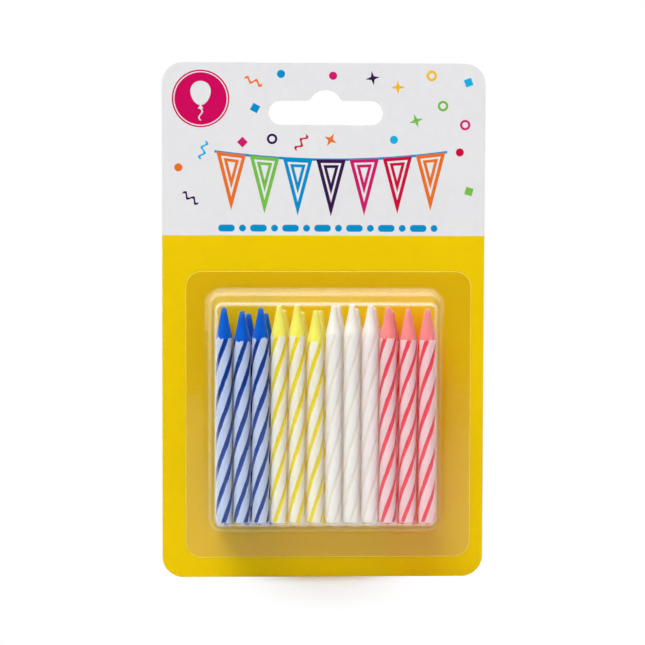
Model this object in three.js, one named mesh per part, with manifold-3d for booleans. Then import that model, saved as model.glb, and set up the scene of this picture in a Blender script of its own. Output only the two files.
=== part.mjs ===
// A hanging retail pack of birthday candles. A printed backing card with a hang slot carries a
// clear thermoformed blister, and two rows of twelve spiral candles stand in the blister's pocket.
// Lengths are millimetres and angles are degrees. +Z is up and the front of the pack faces -Y.
// The origin is where a display hook bears: the top of the hang slot's dome, at the middle of the
// card's thickness. Depths are measured forwards from the card's front face.
import * as THREE from "three";
import { mergeVertices } from "three/addons/utils/BufferGeometryUtils.js";
import Module from "manifold-3d";

// Backing card
const cardThickness = 0.5;
const cardCornerRadius = 5.8;
const cardAboveSlot = 7.4;
const cardBesideFlangeLeft = 6.35;
const cardBesideFlangeRight = 3.5;
const cardBelowFlange = 5.4;

// Hang slot: a straight slot with round ends and a shallow dome over its middle
const slotWidth = 31.5;
const slotHeight = 6.65;
const slotDomeRise = 2.92;
const slotDomeRadius = 4.7;
const slotDomeFillet = 1;
const slotToFlange = 40.1;

// Blister: one sheet of clear film, a flat flange round a drawn pocket
const filmThickness = 0.3;
const sealGap = 0.05;
const flangeBesidePocketLeft = 6.33;
const flangeBesidePocketRight = 8.38;
const flangeAbovePocket = 5.3;
const flangeBelowPocket = 7.15;
const flangeCornerRadius = 4.5;
const pocketOffsetX = -0.05;
const pocketSideSlope = 0.1875;
const pocketEndSlope = 0.322;
const pocketFootCorner = 3.6;
const pocketFaceCorner = 2.1;
const footFilletRadius = 2.2;
const faceFilletRadius = 1.5;

// Room round the candles in the pocket
const backClearance = 0.3;
const rowClearance = 0.1;
const frontClearance = 0.3;
const sideClearance = 0.1;
const restClearance = 0.2;
const headClearance = 0.6;

// Candle: a round bar with four spiral grooves and a drawn, flat-cut tip. The tip tapers fast up to
// its neck, and slowly above that.
const candleDiameter = 4.7;
const candleLength = 58.85;
const grooveCount = 4;
const grooveDepth = 0.28;
const grooveWidth = 1.35;
const tipHeight = 8.3;
const tipWall = 0.3;
const tipNeckLength = 4;
const tipNeckDiameter = 2.8;
const shoulderHeight = 0.9;
const shoulderInset = 0.15;
const footBevel = 0.3;

// Wick: it runs through the wax, just proud of the tip and just short of the foot
const wickDiameter = 0.65;
const wickClearance = 0.05;
const wickProud = 0.15;
const wickRecess = 0.3;

// The candles, from left to right. space is the gap to the candle before, over is the length past
// the usual length, turn is where the first groove starts at the foot, and lead is the height of
// one full turn of a groove.
const colours = ["blue", "yellow", "white", "pink"];
const candlesPerColour = 3;
const frontRow = [
  { space: 0, over: -0.05, turn: 83, lead: 38.5 },
  { space: 0.2, over: -1, turn: 24, lead: 39.4 },
  { space: 0.38, over: -0.1, turn: 52, lead: 38.2 },
  { space: 0.36, over: 0.55, turn: 53, lead: 39.3 },
  { space: 0.16, over: 0.8, turn: 2, lead: 40.5 },
  { space: 0.33, over: -0.8, turn: 45, lead: 40.1 },
  { space: 0.3, over: 0.55, turn: 10, lead: 41 },
  { space: 0.25, over: 0.85, turn: 80, lead: 41.1 },
  { space: 0.3, over: 0.65, turn: 23, lead: 39.2 },
  { space: 0.19, over: 0, turn: 41, lead: 38.5 },
  { space: 0.77, over: -0.4, turn: 48, lead: 36.2 },
  { space: 0.66, over: -0.45, turn: 53, lead: 37.6 },
];
const backRow = [
  { space: 0, over: 0, turn: 12, lead: 38.8 },
  { space: 2.15, over: -0.2, turn: 70, lead: 39 },
  { space: 0.05, over: -0.15, turn: 31, lead: 39.5 },
  { space: 0.25, over: 0.8, turn: 5, lead: 38.6 },
  { space: 0.2, over: 0.25, turn: 64, lead: 40 },
  { space: 0.4, over: 0.6, turn: 22, lead: 39.2 },
  { space: 0.2, over: 2, turn: 48, lead: 39.8 },
  { space: 0.3, over: 1.1, turn: 81, lead: 38.4 },
  { space: 0.08, over: 1.4, turn: 15, lead: 39.4 },
  { space: 0.17, over: 0.7, turn: 57, lead: 38 },
  { space: 0.1, over: 0.3, turn: 36, lead: 39.1 },
  { space: 0.2, over: 0.2, turn: 3, lead: 38.7 },
];

// Fineness of the round stretches
const arcSteps = 6;
const pocketCornerSteps = 4;
const filletSteps = 3;
const twistSteps = 12;
const roundSides = 8;
const footCheckStep = 10;

// Depths inside the pocket, and the flange's two faces
const candleRadius = candleDiameter / 2;
const backRowDepth = backClearance + candleRadius;
const frontRowDepth = backRowDepth + candleDiameter + rowClearance;
const pocketInnerDepth = frontRowDepth + candleRadius + frontClearance;
const flangeBackDepth = sealGap;
const flangeFrontDepth = sealGap + filmThickness;
const pocketOuterDepth = pocketInnerDepth + filmThickness;

// The distance that a pocket wall has leaned in at a depth, from the line where it would meet
// the flange. skin holds the depths of that skin's flange and face and its two fillet radii.
function wallInset(skin, slope, depth) {
  const lean = Math.atan(slope);
  const line = (at) => (at - skin.flange) * slope;
  const footEnd = skin.flange + skin.footRadius * (1 - Math.sin(lean));
  const faceStart = skin.face - skin.faceRadius * (1 - Math.sin(lean));
  if (depth < footEnd) {
    const along = (skin.footRadius - depth + skin.flange) / skin.footRadius;
    const start = line(footEnd) - skin.footRadius * Math.cos(lean);
    return start + skin.footRadius * Math.sqrt(Math.max(0, 1 - along * along));
  }
  if (depth > faceStart) {
    const along = (depth - skin.face + skin.faceRadius) / skin.faceRadius;
    const end = line(faceStart) + skin.faceRadius * Math.cos(lean);
    return end - skin.faceRadius * Math.sqrt(Math.max(0, 1 - along * along));
  }
  return line(depth);
}

const outerSkin = {
  flange: flangeFrontDepth,
  face: pocketOuterDepth,
  footRadius: footFilletRadius,
  faceRadius: faceFilletRadius,
  shift: () => 0,
};
// The inner skin lies one film thickness inside the outer one, square to the wall.
const innerSkin = {
  flange: flangeBackDepth,
  face: pocketInnerDepth,
  footRadius: footFilletRadius + filmThickness,
  faceRadius: Math.max(faceFilletRadius - filmThickness, filmThickness),
  shift: (slope) => filmThickness * (Math.hypot(1, slope) - slope),
};
const skinInset = (skin, slope, depth) => skin.shift(slope) + wallInset(skin, slope, depth);

// The radius of a pocket skin's corners. They tighten from the foot to the face, and in the
// fillets they follow the wall's extra lean.
function cornerRadius(skin, depth) {
  const share = THREE.MathUtils.clamp(depth / pocketOuterDepth, 0, 1);
  const corner = THREE.MathUtils.lerp(pocketFootCorner, pocketFaceCorner, share);
  const extra = skinInset(skin, pocketSideSlope, depth) - (depth - skin.flange) * pocketSideSlope;
  return Math.max(corner - extra, filmThickness);
}

// A candle stands on the sloping lower wall, which its foot's front edge meets, and the longest
// candle of each row just clears the upper wall.
const boreDiameter = wickDiameter + 2 * wickClearance;
const tipDiameter = boreDiameter + 2 * tipWall;
const footRise = (rowDepth) =>
  skinInset(innerSkin, pocketEndSlope, rowDepth + candleRadius) + restClearance;
const headFall = (rowDepth) =>
  skinInset(innerSkin, pocketEndSlope, rowDepth + tipDiameter / 2) + headClearance + wickProud;
const longest = (row) => candleLength + Math.max(...row.map((candle) => candle.over));
const heightFor = (row, rowDepth) => footRise(rowDepth) + longest(row) + headFall(rowDepth);
const pocketHeight = Math.max(
  heightFor(frontRow, frontRowDepth),
  heightFor(backRow, backRowDepth),
);

// How far the pocket's rounded lower corner reaches in from the side wall, at a rise above the
// lower wall
function cornerReach(depth, rise) {
  const radius = cornerRadius(innerSkin, depth);
  const under = Math.max(radius - rise, 0);
  return radius - Math.sqrt(radius ** 2 - under ** 2);
}

// The front row nearly fills the pocket's width. The end candles' feet, edge and bevel, clear
// the side walls and the rounded corners all round.
const spaces = (row) => row.reduce((sum, candle) => sum + candle.space, 0);
const rowWidth = (row) => row.length * candleDiameter + spaces(row);
function halfWidthFor(row, rowDepth) {
  const axis = rowWidth(row) / 2 - candleRadius;
  const foot = footRise(rowDepth);
  let half = 0;
  for (let angle = 0; angle < 90; angle += footCheckStep) {
    const across = Math.cos(THREE.MathUtils.degToRad(angle));
    const depth = rowDepth + candleRadius * Math.sin(THREE.MathUtils.degToRad(angle));
    const rise = foot - skinInset(innerSkin, pocketEndSlope, depth);
    const atFoot = (candleRadius - footBevel) * across + cornerReach(depth, rise);
    const atBody = candleRadius * across + cornerReach(depth, rise + footBevel);
    const wall = skinInset(innerSkin, pocketSideSlope, depth);
    half = Math.max(half, axis + Math.max(atFoot, atBody) + wall + sideClearance);
  }
  return half;
}
const pocketHalfWidth = Math.max(
  halfWidthFor(frontRow, frontRowDepth),
  halfWidthFor(backRow, backRowDepth),
);

// Outlines on the card's plane, each as left, right, bottom and top
const slotTop = -slotDomeRise;
const slotBottom = slotTop - slotHeight;
const flangeTop = slotBottom - slotToFlange;
const pocket = {
  left: pocketOffsetX - pocketHalfWidth,
  right: pocketOffsetX + pocketHalfWidth,
  bottom: flangeTop - flangeAbovePocket - pocketHeight,
  top: flangeTop - flangeAbovePocket,
};
const flange = {
  left: pocket.left - flangeBesidePocketLeft,
  right: pocket.right + flangeBesidePocketRight,
  bottom: pocket.bottom - flangeBelowPocket,
  top: flangeTop,
};
const card = {
  left: flange.left - cardBesideFlangeLeft,
  right: flange.right + cardBesideFlangeRight,
  bottom: flange.bottom - cardBelowFlange,
  top: cardAboveSlot,
};

const cardFront = -cardThickness / 2;
const yAtDepth = (depth) => cardFront - depth;

function roundedOutline(box, radius) {
  const quarter = Math.PI / 2;
  const shape = new THREE.Shape();
  shape.absarc(box.right - radius, box.bottom + radius, radius, -quarter, 0);
  shape.absarc(box.right - radius, box.top - radius, radius, 0, quarter);
  shape.absarc(box.left + radius, box.top - radius, radius, quarter, 2 * quarter);
  shape.absarc(box.left + radius, box.bottom + radius, radius, 2 * quarter, 3 * quarter);
  return shape;
}

// The slot's outline, anticlockwise from its lower left. The fillets round the two corners of
// card between the slot's top edge and the dome.
function slotOutline() {
  const endRadius = slotHeight / 2;
  const endX = slotWidth / 2 - endRadius;
  const endZ = slotTop - endRadius;
  const quarter = Math.PI / 2;
  const domeZ = -slotDomeRadius;
  const filletZ = slotTop + slotDomeFillet;
  const reach = slotDomeRadius + slotDomeFillet;
  const filletX = Math.sqrt(reach ** 2 - (filletZ - domeZ) ** 2);
  const domeStart = Math.atan2(filletZ - domeZ, filletX);
  const outline = new THREE.Path();
  outline.absarc(endX, endZ, endRadius, -quarter, quarter);
  outline.absarc(filletX, filletZ, slotDomeFillet, -quarter, -Math.PI + domeStart, true);
  outline.absarc(0, domeZ, slotDomeRadius, domeStart, Math.PI - domeStart);
  outline.absarc(-filletX, filletZ, slotDomeFillet, -domeStart, -quarter, true);
  outline.absarc(-endX, endZ, endRadius, quarter, 3 * quarter);
  return outline;
}

function cardGeometry() {
  const outline = roundedOutline(card, cardCornerRadius);
  outline.holes.push(slotOutline());
  const geometry = new THREE.ExtrudeGeometry(outline, {
    depth: cardThickness,
    bevelEnabled: false,
    curveSegments: arcSteps,
  });
  // The outline is drawn on XY. This stands it up on XZ, with its back at the card's back.
  geometry.rotateX(Math.PI / 2);
  geometry.translate(0, cardThickness / 2, 0);
  return geometry;
}

// A ring of points round a box with rounded corners, at one depth, anticlockwise from the front
function roundedRing(box, radius, depth) {
  const corners = [
    [box.right - radius, box.bottom + radius, -90],
    [box.right - radius, box.top - radius, 0],
    [box.left + radius, box.top - radius, 90],
    [box.left + radius, box.bottom + radius, 180],
  ];
  const ring = [];
  for (const [x, z, start] of corners) {
    for (let step = 0; step <= pocketCornerSteps; step++) {
      const angle = THREE.MathUtils.degToRad(start + (90 * step) / pocketCornerSteps);
      const across = x + radius * Math.cos(angle);
      const up = z + radius * Math.sin(angle);
      ring.push(new THREE.Vector3(across, yAtDepth(depth), up));
    }
  }
  return ring;
}

// One ring of a pocket skin
function pocketRing(skin, depth) {
  const side = skinInset(skin, pocketSideSlope, depth);
  const end = skinInset(skin, pocketEndSlope, depth);
  const box = {
    left: pocket.left + side,
    right: pocket.right - side,
    bottom: pocket.bottom + end,
    top: pocket.top - end,
  };
  return roundedRing(box, cornerRadius(skin, depth), depth);
}

// The depths at which a skin needs a ring: both ends of each fillet and steps round it
function skinDepths(skin) {
  const sweep = Math.PI / 2 - Math.atan(pocketSideSlope);
  const foot = [];
  const face = [];
  for (let step = 0; step <= filletSteps; step++) {
    const risen = 1 - Math.cos((sweep * step) / filletSteps);
    foot.push(skin.flange + skin.footRadius * risen);
    face.unshift(skin.face - skin.faceRadius * risen);
  }
  return [...foot, ...face];
}

// Builds a closed surface from rings of equal length, with a flat cap on the first and the last.
// The diagonal of each quad runs from a ring's next point to the same point of the ring after.
function loftRings(rings) {
  const count = rings[0].length;
  const positions = [];
  for (const ring of rings) {
    for (const point of ring) {
      positions.push(point.x, point.y, point.z);
    }
  }
  const index = [];
  for (let r = 0; r + 1 < rings.length; r++) {
    for (let i = 0; i < count; i++) {
      const a = r * count + i;
      const b = r * count + ((i + 1) % count);
      index.push(a, b, a + count);
      index.push(b, b + count, a + count);
    }
  }
  const last = (rings.length - 1) * count;
  for (let i = 1; i + 1 < count; i++) {
    index.push(0, i + 1, i);
    index.push(last, last + i, last + i + 1);
  }
  const geometry = new THREE.BufferGeometry();
  geometry.setAttribute("position", new THREE.Float32BufferAttribute(positions, 3));
  geometry.setIndex(index);
  geometry.computeVertexNormals();
  return geometry;
}

// The blister is one loft: from the middle of the inner face, down the inner skin, round the
// flange's rim and up the outer skin to the middle of the outer face.
function blisterGeometry() {
  const inner = skinDepths(innerSkin).map((depth) => pocketRing(innerSkin, depth));
  const outer = skinDepths(outerSkin).map((depth) => pocketRing(outerSkin, depth));
  const rimBack = roundedRing(flange, flangeCornerRadius, flangeBackDepth);
  const rimFront = roundedRing(flange, flangeCornerRadius, flangeFrontDepth);
  return loftRings([...inner.reverse(), rimBack, rimFront, ...outer]);
}

// One ring of the grooved bar: each groove is a notch, and the land after it has a middle point.
function groovedRing(height, lead) {
  const half = THREE.MathUtils.radToDeg(Math.asin(grooveWidth / candleDiameter));
  const pitch = 360 / grooveCount;
  const turn = (360 * height) / lead;
  const ring = [];
  for (let groove = 0; groove < grooveCount; groove++) {
    const start = turn + pitch * groove;
    ring.push(ringPoint(candleRadius - grooveDepth, start, height));
    ring.push(ringPoint(candleRadius, start + half, height));
    ring.push(ringPoint(candleRadius, start + pitch / 2, height));
    ring.push(ringPoint(candleRadius, start + pitch - half, height));
  }
  return ring;
}

function ringPoint(radius, degrees, height) {
  const angle = THREE.MathUtils.degToRad(degrees);
  return new THREE.Vector3(radius * Math.cos(angle), radius * Math.sin(angle), height);
}

// The same directions as the given ring, all at one radius
function evenRing(ring, radius, height) {
  return ring.map((point) => {
    const angle = Math.atan2(point.y, point.x);
    return new THREE.Vector3(radius * Math.cos(angle), radius * Math.sin(angle), height);
  });
}

function barGeometry(length, lead) {
  const shoulder = length - tipHeight;
  const foot = groovedRing(footBevel, lead);
  const rings = [evenRing(foot, candleRadius - footBevel, 0)];
  for (let step = 0; step <= twistSteps; step++) {
    const height = THREE.MathUtils.lerp(footBevel, shoulder, step / twistSteps);
    rings.push(groovedRing(height, lead));
  }
  const top = rings[rings.length - 1];
  rings.push(evenRing(top, candleRadius - shoulderInset, shoulder + shoulderHeight));
  rings.push(evenRing(top, tipNeckDiameter / 2, length - tipNeckLength));
  rings.push(evenRing(top, tipDiameter / 2, length));
  return loftRings(rings);
}

function uprightCylinder(diameter, bottom, top) {
  const radius = diameter / 2;
  const geometry = new THREE.CylinderGeometry(radius, radius, top - bottom, roundSides);
  geometry.rotateX(Math.PI / 2);
  geometry.translate(0, 0, (top + bottom) / 2);
  return geometry;
}

const wasm = await Module();
wasm.setup();

function toSolid(geometry) {
  const bare = geometry.clone();
  bare.deleteAttribute("normal");
  bare.deleteAttribute("uv");
  const merged = mergeVertices(bare);
  const mesh = new wasm.Mesh({
    numProp: 3,
    vertProperties: new Float32Array(merged.attributes.position.array),
    triVerts: new Uint32Array(merged.index.array),
  });
  return new wasm.Manifold(mesh);
}

function toGeometry(solid) {
  const mesh = solid.getMesh();
  const geometry = new THREE.BufferGeometry();
  geometry.setAttribute("position", new THREE.BufferAttribute(mesh.vertProperties, 3));
  geometry.setIndex(new THREE.BufferAttribute(mesh.triVerts, 1));
  geometry.computeVertexNormals();
  return geometry;
}

function waxGeometry(length, lead) {
  const bore = uprightCylinder(boreDiameter, -wickRecess, length + wickRecess);
  return toGeometry(toSolid(barGeometry(length, lead)).subtract(toSolid(bore)));
}

// Finishes
const finishes = {
  board: { color: 0xebc505, roughness: 0.5, metalness: 0 },
  film: { color: 0xf2f2ee, roughness: 0.08, metalness: 0, transparent: true, opacity: 0.2 },
  blue: { color: 0xb8c4e2, roughness: 0.45, metalness: 0 },
  yellow: { color: 0xeeecdc, roughness: 0.45, metalness: 0 },
  white: { color: 0xededea, roughness: 0.45, metalness: 0 },
  pink: { color: 0xf3cdd5, roughness: 0.45, metalness: 0 },
  wick: { color: 0xf4f0e4, roughness: 0.9, metalness: 0 },
};

function namedMesh(name, geometry, finish) {
  const mesh = new THREE.Mesh(geometry, new THREE.MeshStandardMaterial(finishes[finish]));
  mesh.name = name;
  return mesh;
}

// One candle, standing on z = 0 of its own group: the wax and the wick inside it
function candle(label, colour, { over, turn, lead }) {
  const length = candleLength + over;
  const wick = uprightCylinder(wickDiameter, wickRecess, length + wickProud);
  const group = new THREE.Group();
  group.add(namedMesh(`candle_${label}`, waxGeometry(length, lead), colour));
  group.add(namedMesh(`wick_${label}`, wick, "wick"));
  group.rotation.z = THREE.MathUtils.degToRad(turn);
  return group;
}

// A row of candles, centred on the pocket and standing on its lower wall
function candleRow(rowName, row, depth) {
  const group = new THREE.Group();
  let edge = pocketOffsetX - rowWidth(row) / 2;
  row.forEach((entry, place) => {
    const colour = colours[Math.floor(place / candlesPerColour)];
    const number = (place % candlesPerColour) + 1;
    const one = candle(`${rowName}_${colour}_${number}`, colour, entry);
    edge += entry.space;
    one.position.set(edge + candleRadius, yAtDepth(depth), pocket.bottom + footRise(depth));
    edge += candleDiameter;
    group.add(one);
  });
  return group;
}

const pack = new THREE.Group();
pack.name = "birthday_candle_pack";
pack.add(namedMesh("backing_card", cardGeometry(), "board"));
pack.add(namedMesh("blister", blisterGeometry(), "film"));
pack.add(candleRow("back", backRow, backRowDepth));
pack.add(candleRow("front", frontRow, frontRowDepth));

export default pack;
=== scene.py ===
import math
import random

import bpy
from mathutils import Matrix, Vector
from mathutils.geometry import delaunay_2d_cdt


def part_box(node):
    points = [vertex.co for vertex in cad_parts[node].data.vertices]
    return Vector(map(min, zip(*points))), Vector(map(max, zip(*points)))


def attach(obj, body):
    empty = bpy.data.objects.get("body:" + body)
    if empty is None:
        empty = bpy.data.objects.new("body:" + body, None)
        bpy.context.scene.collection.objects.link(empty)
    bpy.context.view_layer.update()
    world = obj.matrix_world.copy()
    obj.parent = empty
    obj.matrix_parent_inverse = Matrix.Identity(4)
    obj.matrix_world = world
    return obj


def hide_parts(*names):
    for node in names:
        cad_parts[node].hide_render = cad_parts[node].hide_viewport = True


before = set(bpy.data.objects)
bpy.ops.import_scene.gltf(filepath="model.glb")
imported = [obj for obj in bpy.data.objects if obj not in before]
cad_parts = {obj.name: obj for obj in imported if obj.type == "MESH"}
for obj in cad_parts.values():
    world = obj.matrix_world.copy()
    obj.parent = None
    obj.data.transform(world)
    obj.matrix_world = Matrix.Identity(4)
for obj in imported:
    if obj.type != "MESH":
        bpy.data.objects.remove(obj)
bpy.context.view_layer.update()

MM = 0.001

# Camera, as the photograph was taken
PHOTO_SIDE = 645
FOCAL_PIXELS = 2174
SENSOR_WIDTH = 36
CAMERA_AIM = (-0.71, 0, -63.9)
CAMERA_DISTANCE = 600
CAMERA_AZIMUTH = -2.5
CAMERA_ELEVATION = 3.22
CAMERA_ROLL = 0.17

# Backing card
CARD_CORNER = 5.8
CARD_EDGE_ROUND = 0.06
SLOT_WIDTH = 31.5
SLOT_HEIGHT = 6.65
SLOT_DOME_RISE = 2.92
SLOT_DOME_RADIUS = 4.7
SLOT_DOME_FILLET = 1
CARD_ARC_STEPS = 12

# Blister film: the flange's margins round the pocket, and the pocket's section
FILM = 0.3
SEAL_GAP = 0.05
POCKET_FACE_DEPTH = 10.4
MARGIN_LEFT = 6.33
MARGIN_RIGHT = 8.38
MARGIN_TOP = 5.3
MARGIN_BOTTOM = 7.15
FLANGE_CORNER = 4.5
SIDE_SLOPE = 0.1875
END_SLOPE = 0.322
FOOT_CORNER = 3.6
FACE_CORNER = 2.1
FOOT_FILLET = 2.2
FACE_FILLET = 1.5
RIM_ROUND = 0.12
SUPPORT = 0.25
FILLET_STEPS = 10
FILM_CORNER_STEPS = 12
FILM_TINT = (0.992, 0.992, 0.988, 1)
FILM_MILK = (0.96, 0.93, 0.84, 1)
# The share that each face of the film mirrors head on, and how steeply that rises to its edges
FILM_HEAD_ON = 0.03
FILM_GRAZE = 5
# How milky each face of the film is: in the fillet at its face, at the top of the fillet at its
# foot and for a reach of depth beyond it, and on its walls
FACE_HAZE = 0.28
FOOT_HAZE = 0.18
FOOT_HAZE_REACH = 1.9
WALL_HAZE = 0.03

# Candle
CANDLE_RADIUS = 2.35
GROOVES = 4
GROOVE_DEPTH = 0.28
GROOVE_WIDTH = 1.35
# How far a groove's hollow reaches on either side, in half widths of the groove
GROOVE_SPREAD = 1.25
TIP_HEIGHT = 8.3
TIP_FADE = 1.6
TIP_END_ROUND = 0.1
# Where the round's middle ring lies, as a share of the round
TIP_END_EASE = 0.3
TIP_STEPS = 14
FOOT_BEVEL = 0.3
FOOT_BEVEL_STEPS = 3
# How far the foot's flat keeps inside its bevel, and how deep the grooves still are there, as a
# share of their depth
FOOT_FLAT_INSET = 0.1
FOOT_GROOVES = 0.5
BORE_RADIUS = 0.375
# A ring that holds the foot's flat even round the bore, in bore radii
BORE_SUPPORT = 1.6
RING_STEP = 0.8
BORE_STEP = 2.5
# The tip's outline: heights over the shoulder, each with the radius and the slope there
TIP_CURVE = ((0, 2.35, -0.05), (0.9, 2.2, -0.22), (4.3, 1.4, -0.185), (8.3, 0.675, -0.16))
# Where a ring has its points, in degrees on either side of a groove
GROOVE_POINTS = (0, 5.5, 11, 15, 18.5, 22.9, 28, 36, 45)

# Wick: three plies twisted together
WICK_RADIUS = 0.325
WICK_PLIES = 3
WICK_PLY_DEPTH = 0.05
WICK_LEAD = 3.2
WICK_SIDES = 18
WICK_STEP = 0.45
WICK_END_ROUND = 0.08
# Where the round's second ring lies, as a share of the round
WICK_END_EASE = 0.4

COLOURS = ("blue", "yellow", "white", "pink")
# The wax of this candle has taken up a little of its pink neighbour's dye
# Painted pink light on this white candle, for the light from the pink candle beside it
PINK_LIT_CANDLE = "white_3"
PAINTED_PINK_LIGHT = (1, 0.92, 0.955, 1)
CANDLES_PER_COLOUR = 3
# How far apart two candles' places in the wax's grain lie, across and deep
GRAIN_SHIFT = (17.3, 5.9)
# Each candle, from left to right: where its first groove starts at the foot, in degrees, and
# the height of one full turn of a groove
FRONT_ROW = (
    (83, 38.5), (24, 39.4), (52, 38.2), (53, 39.3), (2, 40.5), (45, 40.1),
    (10, 41), (80, 41.1), (23, 39.2), (41, 38.5), (48, 36.2), (53, 37.6),
)
BACK_ROW = (
    (12, 38.8), (70, 39), (31, 39.5), (5, 38.6), (64, 40), (22, 39.2),
    (48, 39.8), (81, 38.4), (15, 39.4), (57, 38), (36, 39.1), (3, 38.7),
)


# Colours and shader nodes

def srgb(red, green, blue):
    """A colour written as 0 to 255 numbers, as Blender's linear colour."""
    def linear(value):
        share = value / 255
        if share <= 0.04045:
            return share / 12.92
        return ((share + 0.055) / 1.055) ** 2.4
    return (linear(red), linear(green), linear(blue), 1)


def new_tree(name):
    material = bpy.data.materials.new(name)
    material.use_nodes = True
    material.node_tree.nodes.clear()
    return material, material.node_tree


def add(tree, kind, values=None, **settings):
    """Adds a node. values sets its inputs by name or number, from a number or another socket."""
    node = tree.nodes.new(kind)
    for key, value in settings.items():
        setattr(node, key, value)
    for key, value in (values or {}).items():
        socket = node.inputs[key]
        if isinstance(value, bpy.types.NodeSocket):
            tree.links.new(value, socket)
        else:
            socket.default_value = value
    return node


def maths(tree, operation, *values):
    return add(tree, "ShaderNodeMath", dict(enumerate(values)), operation=operation).outputs[0]


def mix_colour(tree, share, first, second, blend="MIX"):
    node = add(tree, "ShaderNodeMix", data_type="RGBA", blend_type=blend)
    for index, value in ((0, share), (6, first), (7, second)):
        if isinstance(value, bpy.types.NodeSocket):
            tree.links.new(value, node.inputs[index])
        else:
            node.inputs[index].default_value = value
    return node.outputs[2]


def smooth_step(tree, value, low, high, start=0.0, end=1.0):
    values = {"Value": value, "From Min": low, "From Max": high, "To Min": start, "To Max": end}
    node = add(tree, "ShaderNodeMapRange", values, interpolation_type="SMOOTHSTEP")
    return node.outputs[0]


def noise(tree, where, scale, detail=2.0, roughness=0.5):
    values = {"Vector": where, "Scale": scale, "Detail": detail, "Roughness": roughness}
    return add(tree, "ShaderNodeTexNoise", values).outputs[0]


def scaled(tree, where, factors):
    node = add(tree, "ShaderNodeVectorMath", {0: where, 1: factors}, operation="MULTIPLY")
    return node.outputs[0]


def bump(tree, height, distance, strength=1.0, under=None):
    values = {"Height": height, "Distance": distance, "Strength": strength}
    if under is not None:
        values["Normal"] = under
    return add(tree, "ShaderNodeBump", values).outputs[0]


def attribute(tree, name):
    return add(tree, "ShaderNodeAttribute", attribute_name=name)


def finish_material(material, tree, shader):
    add(tree, "ShaderNodeOutputMaterial", {"Surface": shader})
    return material


# Meshes

def make_piece(name, points, faces, materials, place=(0, 0, 0)):
    """A mesh object from points in millimetres, which may stand at a place of its own."""
    mesh = bpy.data.meshes.new(name)
    mesh.from_pydata([Vector(point) * MM for point in points], [], faces)
    for material in materials:
        mesh.materials.append(material)
    piece = bpy.data.objects.new(name, mesh)
    bpy.context.scene.collection.objects.link(piece)
    piece.location = Vector(place) * MM
    bpy.context.view_layer.update()
    return piece


def store(piece, name, kind, domain, values):
    layer = piece.data.attributes.new(name, kind, domain)
    flat = [number for value in values for number in value]
    layer.data.foreach_set("color" if kind == "FLOAT_COLOR" else "vector", flat)


def loft(rings, closed=False):
    """Joins rings of equal length. It caps the first and the last, or joins them if closed."""
    count = len(rings[0])
    points = [point for ring in rings for point in ring]
    faces = []
    pairs = len(rings) if closed else len(rings) - 1
    for r in range(pairs):
        low = r * count
        high = ((r + 1) % len(rings)) * count
        for i in range(count):
            j = (i + 1) % count
            faces.append((low + i, low + j, high + j, high + i))
    if not closed:
        last = (len(rings) - 1) * count
        faces.append(tuple(reversed(range(count))))
        faces.append(tuple(range(last, last + count)))
    return points, faces


def arc(x, z, radius, start, end, steps):
    """Points on an arc, in degrees, with both its ends."""
    turns = [math.radians(start + (end - start) * step / steps) for step in range(steps + 1)]
    return [(x + radius * math.cos(turn), z + radius * math.sin(turn)) for turn in turns]


def rounded_box(left, right, bottom, top, radius, steps):
    return (
        arc(right - radius, bottom + radius, radius, -90, 0, steps)
        + arc(right - radius, top - radius, radius, 0, 90, steps)
        + arc(left + radius, top - radius, radius, 90, 180, steps)
        + arc(left + radius, bottom + radius, radius, 180, 270, steps)
    )


def box_in_mm(node):
    low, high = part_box(node)
    return low / MM, high / MM


card_low, card_high = box_in_mm("backing_card")
film_low, film_high = box_in_mm("blister")
CARD_FRONT = card_low.y
CARD_BACK = card_high.y
# Where the pocket's walls would meet the flange: left, right, bottom and top
pocket_box = (
    film_low.x + MARGIN_LEFT, film_high.x - MARGIN_RIGHT,
    film_low.z + MARGIN_BOTTOM, film_high.z - MARGIN_TOP,
)


# Backing card: the printed front, its inks, its motifs and the painted light round the film

# The card's print inks, and four painted tones round the film: painted light inside the pocket,
# painted shade under the flange, a painted highlight and a painted shadow along its rim
CARD_COLOURS = {
    "paper": srgb(230, 230, 232),
    "yellow": srgb(239, 202, 0),
    # painted light: the card inside the pocket, printed brighter than the yellow print
    "inside": srgb(252, 213, 22),
    "orange": srgb(234, 112, 36),
    "green": srgb(118, 188, 72),
    "blue": srgb(0, 142, 202),
    "sky": srgb(22, 172, 224),
    "purple": srgb(56, 22, 76),
    "magenta": srgb(204, 26, 106),
    "crimson": srgb(203, 12, 60),
    "gold": srgb(242, 186, 22),
    "badge": srgb(207, 5, 90),
    # painted shade: the card under the film's flange, printed darker than the yellow print
    "painted_flange_shade": srgb(231, 188, 4),
    # painted highlight: a thin bright line printed on the card just inside the film's rim
    "painted_rim_highlight": srgb(254, 224, 66),
    # painted shadow: a thin dark line printed on the card just outside the film's rim
    "painted_rim_shadow": srgb(218, 182, 4),
}

HEADER_LINE = -39.95
BADGE = (-34.3, -2.5)
BADGE_RADIUS = 7.87
BADGE_RING_OUTER = 7.45
BADGE_RING_INNER = 7.15
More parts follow.
